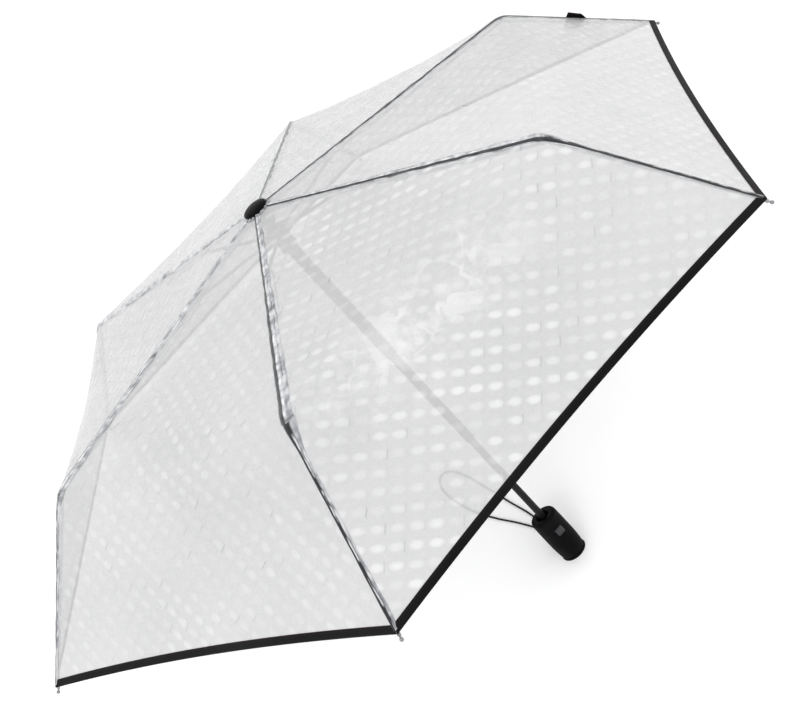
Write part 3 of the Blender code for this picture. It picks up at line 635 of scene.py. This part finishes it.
# The creased patch, with its painted sheen: panel 5 was folded hardest, just below its knee fold; the others only
# a little
KNEE_DOWN = KNEE_RADIUS * TOP_RUN
CREASE_MIDDLE = (-0.022, KNEE_DOWN + 0.020)
CREASE_REACH = (0.115, 0.040)


def crease_share(panel, radius, share):
    """How creased the film is, strongest just below the knee fold, between two ribs."""
    at = flat_place(panel, radius, share)
    along_fold = math.exp(-(abs((at.x - CREASE_MIDDLE[0]) / CREASE_REACH[0]) ** 3))
    off_fold = math.exp(-(((at.y - CREASE_MIDDLE[1]) / CREASE_REACH[1]) ** 2))
    strength = 1.0 if panel == CREASED_PANEL else 0.20
    return strength * along_fold * off_fold


def film_look(panel, radius, share):
    """(creasing, strength of the glints, unused)"""
    return crease_share(panel, radius, share), 1.0 if panel == CREASED_PANEL else 0.5, 0.0


def crinkle(panel, radius, share):
    """Height of waves, creases and seam puckers above the smooth film."""
    at = flat_place(panel, radius, share)
    seed = 7.3 * (panel % RIB_COUNT)
    wave = noise.noise(Vector((at.x * 13, at.y * 13, seed))) * 0.0011
    ripple = noise.noise(Vector((at.x * 42, at.y * 42, seed + 2))) * 0.00035
    fold = 1 - abs(noise.noise(Vector((at.x * 38, at.y * 38, seed + 5)))) * 2.2
    sharp = (fold - 0.55) * 0.0020 * crease_share(panel, radius, share)
    from_rib = min(share, 1 - share) * radius
    pucker_place = math.exp(-((from_rib / 0.016) ** 2)) * smooth(from_rib / 0.005)
    pucker = noise.noise(Vector((at.y * 95, 0.3 if share < 0.5 else 4.1, seed))) * 0.0007 * pucker_place
    calm = smooth(from_rib / 0.020) * smooth((hem_radius(share) - radius) / 0.022) * smooth(radius / 0.05)
    return (wave + ripple + sharp) * calm + pucker * smooth(radius / 0.05)


def film_point(panel, radius, share):
    base = film_base(panel, radius, share)
    height = crinkle(panel, radius, share)
    return base + film_normal(panel, radius, share) * height


def zone_edges(zone, share):
    """Ring radii where a zone starts and ends; the outer zone starts past the fold between ribs."""
    off_rib = 1 - abs(1 - 2 * share)
    fold = KNEE_RADIUS + KNEE_SPREAD * off_rib
    if zone == "inner":
        return CROWN_RADIUS, JOINT_RADIUS
    if zone == "middle":
        return JOINT_RADIUS, fold
    return fold, hem_radius(share)


def side_share(side, across):
    """Share across the panel for a place between the rib (0) and the panel's middle (1)."""
    return across / 2 if side > 0 else 1 - across / 2


def side_panel(number, side):
    """The panel on one side of a rib."""
    return number if side > 0 else (number - 2) % RIB_COUNT + 1


# Names of the two sides of a rib
SIDE_NAMES = {1: "left", -1: "right"}


def gather(piece):
    """Gives the piece its own copy of its mesh."""
    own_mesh(piece)


def add_canopy(materials):
    for number in range(1, RIB_COUNT + 1):
        for side in SIDE_NAMES:
            for zone in ZONES:
                add_film(number, side, zone, materials["canopy_film"])


def add_film(number, side, zone, material):
    """Film between a rib and the middle of the panel beside it, over one section of the rib."""
    panel = side_panel(number, side)
    body = f"rib_{number}_{RIB_BODY[zone]}"
    rib_low, rib_high = zone_edges(zone, side_share(side, 0.0))
    mid_low, mid_high = zone_edges(zone, side_share(side, 1.0))
    run = (TAIL_RUN if zone == "outer" else TOP_RUN) * (max(rib_high, mid_high) - min(rib_low, mid_low))
    width = max(rib_high, mid_high) / 2
    rows = max(LEAST_FACES, round(run / EDGE_STEP))
    columns = max(LEAST_FACES, round(width / EDGE_STEP))

    def place(i, j):
        share = side_share(side, j / columns)
        low, high = zone_edges(zone, share)
        return panel, low + (high - low) * i / rows, share

    name = f"film_{number}_{SIDE_NAMES[side]}_{zone}"
    mesh = grid_mesh(
        name,
        rows,
        columns,
        lambda i, j: film_point(*place(i, j)),
        ("panel_at", lambda i, j: flat_place(*place(i, j))),
        flip=side < 0,
    )
    look = mesh.attributes.new("film_look", "FLOAT_VECTOR", "POINT").data
    places = [place(i, j) for i in range(rows + 1) for j in range(columns + 1)]
    for spot, at in zip(look, places):
        spot.vector = film_look(*at)
    piece = add_piece(name, mesh, body, material, [f"canopy_{number}_{zone}"])
    gather(piece)


# ---------------------------------------------------------------- seams and hem

SEAM_NARROW = 0.0052
SEAM_WIDE = 0.0098
SEAM_TAIL = 0.0037
SEAM_LINE_SIDE = 0.62
SEAM_STEP = 0.0025
SEAM_ACROSS = (-1.0, -0.86, -0.6, -0.3, 0.0, 0.3, 0.6, 0.86, 1.0)
SEAM_FROM_SHAFT = 0.012
SEAM_FROM_HEM = 0.002


def seam_half(radius):
    """The crushed film widens from the crown to the knee and is narrow on the tails."""
    grow = SEAM_NARROW + (SEAM_WIDE - SEAM_NARROW) * smooth(radius / KNEE_RADIUS)
    return grow + (SEAM_TAIL - grow) * smooth((radius - KNEE_RADIUS + 0.004) / 0.030)


def add_seams(materials):
    for number in range(1, RIB_COUNT + 1):
        for zone in ZONES:
            add_seam(number, zone, materials["seam_tail" if zone == "outer" else "seam_film"])


def add_seam(number, zone, material):
    """The welted seam over one section of a rib, with its raw edge turned down onto the rib."""
    low, high = zone_edges(zone, 0.0)
    if zone == "outer":
        high -= SEAM_FROM_HEM
    rows = round((high - low) * 1.2 / SEAM_STEP)
    seed = 11.0 * number + 3.0 * ZONES.index(zone)

    def seam_point(i, j):
        radius = max(low + (high - low) * i / rows, SEAM_FROM_SHAFT)
        q = SEAM_ACROSS[j]
        wide = seam_half(radius) * (1 + 0.30 * noise.noise(Vector((radius * 60, q * 0.2, seed))))
        side = 1 if q >= 0 else -1
        if side < 0:
            wide *= SEAM_LINE_SIDE
        panel = side_panel(number, side)
        share = abs(q) * wide / radius
        share = share if side > 0 else 1 - share
        fold = noise.noise(Vector((radius * 150, q * 2.2, seed + 9)))
        lift = 0.00015 + 0.0008 * math.sqrt(max(1 - q * q, 0)) + 0.0004 * fold * (1 - q * q)
        return film_base(panel, radius, share) + film_normal(panel, radius, share) * lift

    def seam_place(i, j):
        radius = low + (high - low) * i / rows
        near = math.exp(-(((radius - JOINT_RADIUS - 0.004) / 0.0045) ** 2))
        knee = math.exp(-(((radius - KNEE_RADIUS + 0.002) / 0.0022) ** 2))
        return SEAM_ACROSS[j], radius + 0.7 * number, max(near, 0.8 * knee)

    name = f"seam_{number}_{zone}"
    columns = len(SEAM_ACROSS) - 1
    mesh = grid_mesh(name, rows, columns, seam_point, ("seam_at", seam_place), normals=False)
    add_piece(name, mesh, f"rib_{number}_{RIB_BODY[zone]}", material)


HEM_WIDE = 0.0074
HEM_COLUMNS = 44

# Section round the tape: share of its width in from the hem, and height over the film
HEM_SECTION = [
    (1.00, 0.00015),
    (0.97, 0.00060),
    (0.60, 0.00075),
    (0.12, 0.00075),
    (-0.04, 0.00030),
    (-0.04, -0.00050),
    (0.12, -0.00095),
    (0.60, -0.00095),
    (0.97, -0.00080),
    (1.00, -0.00030),
]


def add_hem(materials):
    for number in range(1, RIB_COUNT + 1):
        for side in SIDE_NAMES:
            add_hem_tape(number, side, materials["black_tape"])


def add_hem_tape(number, side, material):
    """Black tape folded over the hem, from a rib to the middle of the panel beside it."""
    panel = side_panel(number, side)

    def hem_point(i, j):
        inward, lift = HEM_SECTION[i]
        share = side_share(side, j / HEM_COLUMNS)
        radius = hem_radius(share) - inward * HEM_WIDE / TAIL_RUN
        return film_base(panel, radius, share) + film_normal(panel, radius, share) * lift

    def hem_place(i, j):
        share = side_share(side, j / HEM_COLUMNS)
        return (1 - HEM_SECTION[i][0]) * HEM_WIDE, share * TIP_RADIUS, 0.0

    name = f"hem_tape_{number}_{SIDE_NAMES[side]}"
    rows = len(HEM_SECTION) - 1
    tape_at = ("tape_at", hem_place)
    mesh = grid_mesh(name, rows, HEM_COLUMNS, hem_point, tape_at, flip=side > 0, normals=False)
    piece = add_piece(name, mesh, f"rib_{number}_tail", material)
    gather(piece)


# ---------------------------------------------------------------- closing strap

BAND_WIDTH = 0.020
BAND_LENGTH = 0.103
BAND_POINT = 0.014
BAND_FROM_RIB = 0.062
BAND_FROM_HEM = 0.012
BAND_TURN = math.radians(15.3)
BAND_COLUMNS = 60

# Section over the strap, from edge to edge: share of the half width, and height
BAND_SECTION = [
    (-1.00, 0.0005),
    (-0.97, 0.0014),
    (-0.86, 0.0018),
    (-0.78, 0.0015),
    (-0.40, 0.0016),
    (0.00, 0.00165),
    (0.40, 0.0016),
    (0.78, 0.0015),
    (0.86, 0.0018),
    (0.97, 0.0014),
    (1.00, 0.0005),
]


def band_directions():
    """The strap's start, its way along and across, level with the first panel's tail."""
    hem = Vector((-0.5, APOTHEM, 0))
    slope = Vector((KNEE_RADIUS - TIP_RADIUS, 0, KNEE_Z - TIP_Z))
    up = (slope - hem * slope.dot(hem)).normalized()
    start = Vector((TIP_RADIUS, 0, TIP_Z)) + hem * BAND_FROM_RIB + up * BAND_FROM_HEM
    along = up * math.cos(BAND_TURN) - hem * math.sin(BAND_TURN)
    across = hem * math.cos(BAND_TURN) + up * math.sin(BAND_TURN)
    return start, along, across


def add_closing_strap(materials):
    """A hemmed webbing strap with a pointed end, sewn down by its hem end."""
    start, along, across = band_directions()
    rib_two = Vector((math.cos(RIB_STEP), math.sin(RIB_STEP), 0))

    def band_point(i, j):
        away = BAND_LENGTH * j / BAND_COLUMNS
        side, lift = BAND_SECTION[i]
        half = BAND_WIDTH / 2 * min(1.0, (BAND_LENGTH - away + 0.0004) / BAND_POINT)
        at = start + along * away + across * side * half
        beside = at.y / rib_two.y
        first = at.x - beside * rib_two.x
        radius = first + beside
        share = beside / radius
        wave = 0.0006 * math.sin(away * 75.0) * smooth(away / 0.03)
        return film_base(1, radius, share) + film_normal(1, radius, share) * (lift + wave + 0.0004)

    def band_place(i, j):
        side, _ = BAND_SECTION[i]
        return (1 - abs(side)) * BAND_WIDTH / 2, BAND_LENGTH * j / BAND_COLUMNS, 0.0

    name = "closing_band"
    rows = len(BAND_SECTION) - 1
    tape_at = ("tape_at", band_place)
    mesh = grid_mesh(name, rows, BAND_COLUMNS, band_point, tape_at, flip=True, normals=False)
    piece = add_piece(name, mesh, "rib_1_tail", materials["black_tape"], ["closing_strap"])
    gather(piece)


# ---------------------------------------------------------------- handle and cap


def lathe(name, profile, sides, cuts=()):
    """A closed (radius, z) outline turned round the shaft, with box-shaped cuts, in the row frame."""
    bm = bmesh.new()
    rings = []
    for radius, z in profile:
        if radius < 1e-6:
            rings.append([bm.verts.new((0, 0, z))])
            continue
        turns = [2 * math.pi * k / sides for k in range(sides)]
        rings.append([bm.verts.new((radius * math.cos(a), radius * math.sin(a), z)) for a in turns])
    for low, high in zip(rings, rings[1:] + rings[:1]):
        if len(low) == 1 and len(high) == 1:
            continue
        for k in range(sides):
            n = (k + 1) % sides
            corners = [low[k % len(low)], low[n % len(low)], high[n % len(high)], high[k % len(high)]]
            bm.faces.new(list(dict.fromkeys(corners)))
    bmesh.ops.recalc_face_normals(bm, faces=bm.faces[:])
    mesh = bpy.data.meshes.new(name)
    bm.to_mesh(mesh)
    bm.free()
    if cuts:
        mesh = cut_boxes(mesh, cuts)
    mesh.shade_smooth()
    mesh.set_sharp_from_angle(angle=math.radians(32))
    mesh.transform(UMBRELLA)
    return mesh


def cut_boxes(mesh, cuts):
    """Boxes (size, place) cut out of a mesh, with their corners rounded."""
    body = bpy.data.objects.new("cut_body", mesh)
    bpy.context.scene.collection.objects.link(body)
    helpers = [body]
    for size, place in cuts:
        bm = bmesh.new()
        bmesh.ops.create_cube(bm, size=1.0)
        for vert in bm.verts:
            vert.co = Vector([c * s for c, s in zip(vert.co, size)])
        upright = [e for e in bm.edges if abs(e.verts[0].co.y - e.verts[1].co.y) > 1e-6]
        bmesh.ops.bevel(bm, geom=upright, offset=min(size) * 0.16, segments=4, affect="EDGES", profile=0.5)
        bmesh.ops.translate(bm, verts=bm.verts[:], vec=place)
        tool = bpy.data.meshes.new("cut_tool")
        bm.to_mesh(tool)
        bm.free()
        cutter = bpy.data.objects.new("cut_tool", tool)
        bpy.context.scene.collection.objects.link(cutter)
        change = body.modifiers.new("cut", "BOOLEAN")
        change.operation = "DIFFERENCE"
        change.object = cutter
        helpers.append(cutter)
    shaped = bpy.data.meshes.new_from_object(body.evaluated_get(bpy.context.evaluated_depsgraph_get()))
    for thing in helpers:
        bpy.data.objects.remove(thing, do_unlink=True)
    return shaped


def rounded(profile, radius, steps=4):
    """An outline with its corners off the axis rounded."""
    out = []
    count = len(profile)
    for k, corner in enumerate(profile):
        at = Vector(corner)
        before = Vector(profile[k - 1]) - at
        after = Vector(profile[(k + 1) % count]) - at
        if corner[0] < 1e-6 or min(before.length, after.length) < 1e-7:
            out.append(corner)
            continue
        reach = min(radius, before.length * 0.45, after.length * 0.45)
        start, end = at + before.normalized() * reach, at + after.normalized() * reach
        for step in range(steps + 1):
            t = step / steps
            point = start * (1 - t) ** 2 + at * 2 * t * (1 - t) + end * t * t
            out.append((point.x, point.y))
    return out


LATHE_SIDES = 96
GRIP_BOTTOM = 0.0035
GRIP_TOP = 0.0640
GRIP_RADIUS = 0.0165
GRIP_BORE = 0.0133
WINDOW = 0.0101
WINDOW_Z = 0.0445
STRAP_SLOT = (0.0075, 0.012, 0.0036)
STRAP_SLOT_Z = 0.0120
COLLAR_RADIUS = GRIP_BORE - 0.0003
COLLAR_SHOULDER = 0.0530
COLLAR_FOOT = 0.0480
COLLAR_WELL = 0.0500
END_CAP_TOP = 0.0085
END_CAP_SEAT = 0.0032

GRIP_PROFILE = [
    (GRIP_RADIUS - 0.0030, GRIP_TOP),
    (GRIP_RADIUS - 0.0012, GRIP_TOP - 0.0006),
    (GRIP_RADIUS - 0.0004, GRIP_TOP - 0.0022),
    (GRIP_RADIUS - 0.0002, GRIP_TOP - 0.0060),
    (GRIP_RADIUS, GRIP_TOP - 0.0150),
    (GRIP_RADIUS, 0.0250),
    (GRIP_RADIUS - 0.0003, 0.0170),
    (GRIP_RADIUS - 0.0008, 0.0100),
    (GRIP_RADIUS - 0.0016, GRIP_BOTTOM),
    (GRIP_BORE, GRIP_BOTTOM),
    (GRIP_BORE, GRIP_TOP),
]
COLLAR_PROFILE = [
    (COLLAR_RADIUS - 0.0012, GRIP_TOP + 0.0004),
    (COLLAR_RADIUS, GRIP_TOP - 0.0006),
    (COLLAR_RADIUS, COLLAR_SHOULDER),
    (0.0098, COLLAR_SHOULDER),
    (0.0098, COLLAR_FOOT),
    (0.0044, COLLAR_FOOT),
    (0.0044, COLLAR_WELL),
    (0.0077, COLLAR_WELL),
    (0.0077, GRIP_TOP - 0.0012),
    (0.0085, GRIP_TOP + 0.0004),
]
END_CAP_PROFILE = [
    (0, END_CAP_TOP),
    (COLLAR_RADIUS, END_CAP_TOP),
    (COLLAR_RADIUS, END_CAP_SEAT),
    (0.0149, END_CAP_SEAT),
    (0.0158, 0.0020),
    (0.0155, 0.0010),
    (0.0148, 0.0003),
    (0.0138, 0.0),
    (0, 0),
]


def add_grip(materials):
    """Moulded shell with its button window and strap slot, the collar in its top, and its end."""
    cuts = [
        ((WINDOW, 0.012, WINDOW), (0, -GRIP_RADIUS, WINDOW_Z)),
        (STRAP_SLOT, (0, GRIP_RADIUS, STRAP_SLOT_Z)),
    ]
    add_turned("grip", "grip_shell", GRIP_PROFILE, 0.0006, "grip_plastic", materials, cuts)
    add_turned("collar", "grip_collar", COLLAR_PROFILE, 0.0004, "black_plastic", materials)
    add_turned("handle_end", "end_cap", END_CAP_PROFILE, 0.0003, "black_plastic", materials)


def add_turned(name, node_name, profile, corner, finish, materials, cuts=()):
    mesh = lathe(name, rounded(profile, corner), LATHE_SIDES, cuts)
    add_piece(name, mesh, "handle", materials[finish], [node_name])


CAP_BRIM = 0.0018
CAP_STEM = 0.0034
CAP_STEPS = 24
WASHER_SIDES = 180
WASHER_PLEATS = 19
WASHER_SHARES = (0.0, 0.25, 0.5, 0.75, 1.0)


def add_cap(materials):
    """The smooth cap over the crown."""
    radius, low, high = round_size("top_cap")
    rim = max(low, CROWN_EDGE_Z + TOP_SLOPE * (radius - CROWN_RADIUS) + 0.0003)
    brim = rim + CAP_BRIM
    dome = [(0.0, high)]
    for k in range(1, CAP_STEPS + 1):
        a = math.radians(90.0 * k / CAP_STEPS)
        dome.append((radius * math.sin(a), brim + (high - brim) * math.cos(a)))
    foot = [(radius, rim), (CAP_STEM, rim + 0.0006), (CAP_STEM, low), (0.0, low)]
    mesh = lathe("crown_cap", [*dome, *foot], LATHE_SIDES)
    add_piece("crown_cap", mesh, "crown", materials["black_plastic"], ["top_cap"])
    add_washer(radius, materials["washer_film"])


def add_washer(cap_radius, material):
    """A pleated ring of crushed film round the cap's foot, deepest under the cap."""
    bm = bmesh.new()
    rings = []
    for share in WASHER_SHARES:
        ring = []
        for k in range(WASHER_SIDES):
            a = 2 * math.pi * k / WASHER_SIDES
            pleat = 0.5 + 0.5 * math.sin(a * WASHER_PLEATS + 3 * math.sin(a * 2))
            reach = cap_radius - 0.002 + (0.0042 + 0.0012 * pleat) * share
            panel = int(a / RIB_STEP) % RIB_COUNT + 1
            turned = a - RIB_STEP * (panel - 1)
            ring_radius = reach * math.cos(turned - RIB_STEP / 2) / APOTHEM
            lift = 0.0004 + 0.0013 * (1 - share) * pleat + 0.0003
            level = film_height(ring_radius, 0.5) + lift
            ring.append(bm.verts.new((reach * math.cos(a), reach * math.sin(a), level)))
        rings.append(ring)
    for low_ring, high_ring in zip(rings, rings[1:]):
        for k in range(WASHER_SIDES):
            n = (k + 1) % WASHER_SIDES
            bm.faces.new([low_ring[k], high_ring[k], high_ring[n], low_ring[n]])
    mesh = bpy.data.meshes.new("crown_washer")
    bm.to_mesh(mesh)
    bm.free()
    mesh.shade_smooth()
    mesh.transform(UMBRELLA)
    add_piece("crown_washer", mesh, "crown", material)


# ---------------------------------------------------------------- cord

STRAP_RADIUS = 0.0011
STRAP_STEP = 0.0028
ROUTE_SPLITS = 24
STRAP_ROUTE = [
    (0.0022, -0.2265, 0.0090),
    (0.0024, -0.2212, 0.0044),
    (0.0030, -0.2149, 0.0020),
    (0.0038, -0.2067, 0.0013),
    (0.0041, -0.1920, 0.0013),
    (0.0030, -0.1702, 0.0013),
    (0.0001, -0.1494, 0.0013),
    (-0.0022, -0.1285, 0.0013),
    (-0.0046, -0.1065, 0.0013),
    (-0.0078, -0.0856, 0.0013),
    (-0.0138, -0.0697, 0.0013),
    (-0.0239, -0.0627, 0.0013),
    (-0.0338, -0.0677, 0.0013),
    (-0.0393, -0.0816, 0.0013),
    (-0.0388, -0.1026, 0.0013),
    (-0.0343, -0.1255, 0.0013),
    (-0.0247, -0.1494, 0.0013),
    (-0.0151, -0.1682, 0.0013),
    (-0.0065, -0.1880, 0.0013),
    (-0.0006, -0.2057, 0.0013),
    (-0.0015, -0.2149, 0.0020),
    (-0.0022, -0.2212, 0.0044),
    (-0.0022, -0.2265, 0.0090),
]


def smooth_route(points, step):
    """Points every step along a Catmull-Rom curve through the route, and the curve's length."""
    ends = [points[0] * 2 - points[1], *points, points[-1] * 2 - points[-2]]
    fine = []
    for a, b, c, d in zip(ends, ends[1:], ends[2:], ends[3:]):
        for k in range(ROUTE_SPLITS):
            t = k / ROUTE_SPLITS
            square, cube = 2 * a - 5 * b + 4 * c - d, 3 * b - a - 3 * c + d
            fine.append(0.5 * (2 * b + (c - a) * t + square * t**2 + cube * t**3))
    fine.append(points[-1])
    total = sum((q - p).length for p, q in zip(fine, fine[1:]))
    count = round(total / step)
    even, walked, due = [fine[0]], 0.0, total / count
    for p, q in zip(fine, fine[1:]):
        walked += (q - p).length
        if walked >= due * len(even) and len(even) < count:
            even.append(q)
    even.append(fine[-1])
    return even, total


def add_wrist_strap(materials):
    points, length = smooth_route([Vector(p) for p in STRAP_ROUTE], STRAP_STEP)
    curve = bpy.data.curves.new("wrist_cord", "CURVE")
    curve.dimensions = "3D"
    curve.bevel_depth = STRAP_RADIUS
    curve.bevel_resolution = 4
    curve.use_fill_caps = True
    line = curve.splines.new("POLY")
    line.points.add(len(points) - 1)
    for spot, point in zip(line.points, points):
        spot.co = (*point, 1)
    line.use_smooth = True
    curve.materials.append(materials["strap_cord"])
    cord = bpy.data.objects.new("wrist_cord", curve)
    bpy.context.scene.collection.objects.link(cord)
    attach(cord, "handle")
    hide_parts("wrist_strap")


# ---------------------------------------------------------------- CAD nodes' finishes


def finish_cad_nodes(materials):
    slots = {}
    for name in NODES:
        if name.startswith("canopy_"):
            slots[name] = "canopy_film"
        elif name.startswith("rib_"):
            slots[name] = "black_steel" if name.endswith("stretcher") else "rib_steel"
        elif name.endswith("_tube"):
            slots[name] = "black_steel"
        elif name in ("crown_notch", "top_cap", "runner", "end_cap", "grip_collar"):
            slots[name] = "black_plastic"
    slots["grip_shell"] = "grip_plastic"
    slots["push_button"] = "button_plastic"
    slots["wrist_strap"] = "strap_cord"
    slots["closing_strap"] = "black_tape"
    for name, slot in slots.items():
        for place in NODES[name].material_slots:
            place.material = materials[slot]


add_camera()
MATERIALS = make_materials()
add_wrist_strap(MATERIALS)
add_studio()
finish_cad_nodes(MATERIALS)
add_canopy(MATERIALS)
add_seams(MATERIALS)
add_hem(MATERIALS)
add_closing_strap(MATERIALS)
add_grip(MATERIALS)
add_cap(MATERIALS)
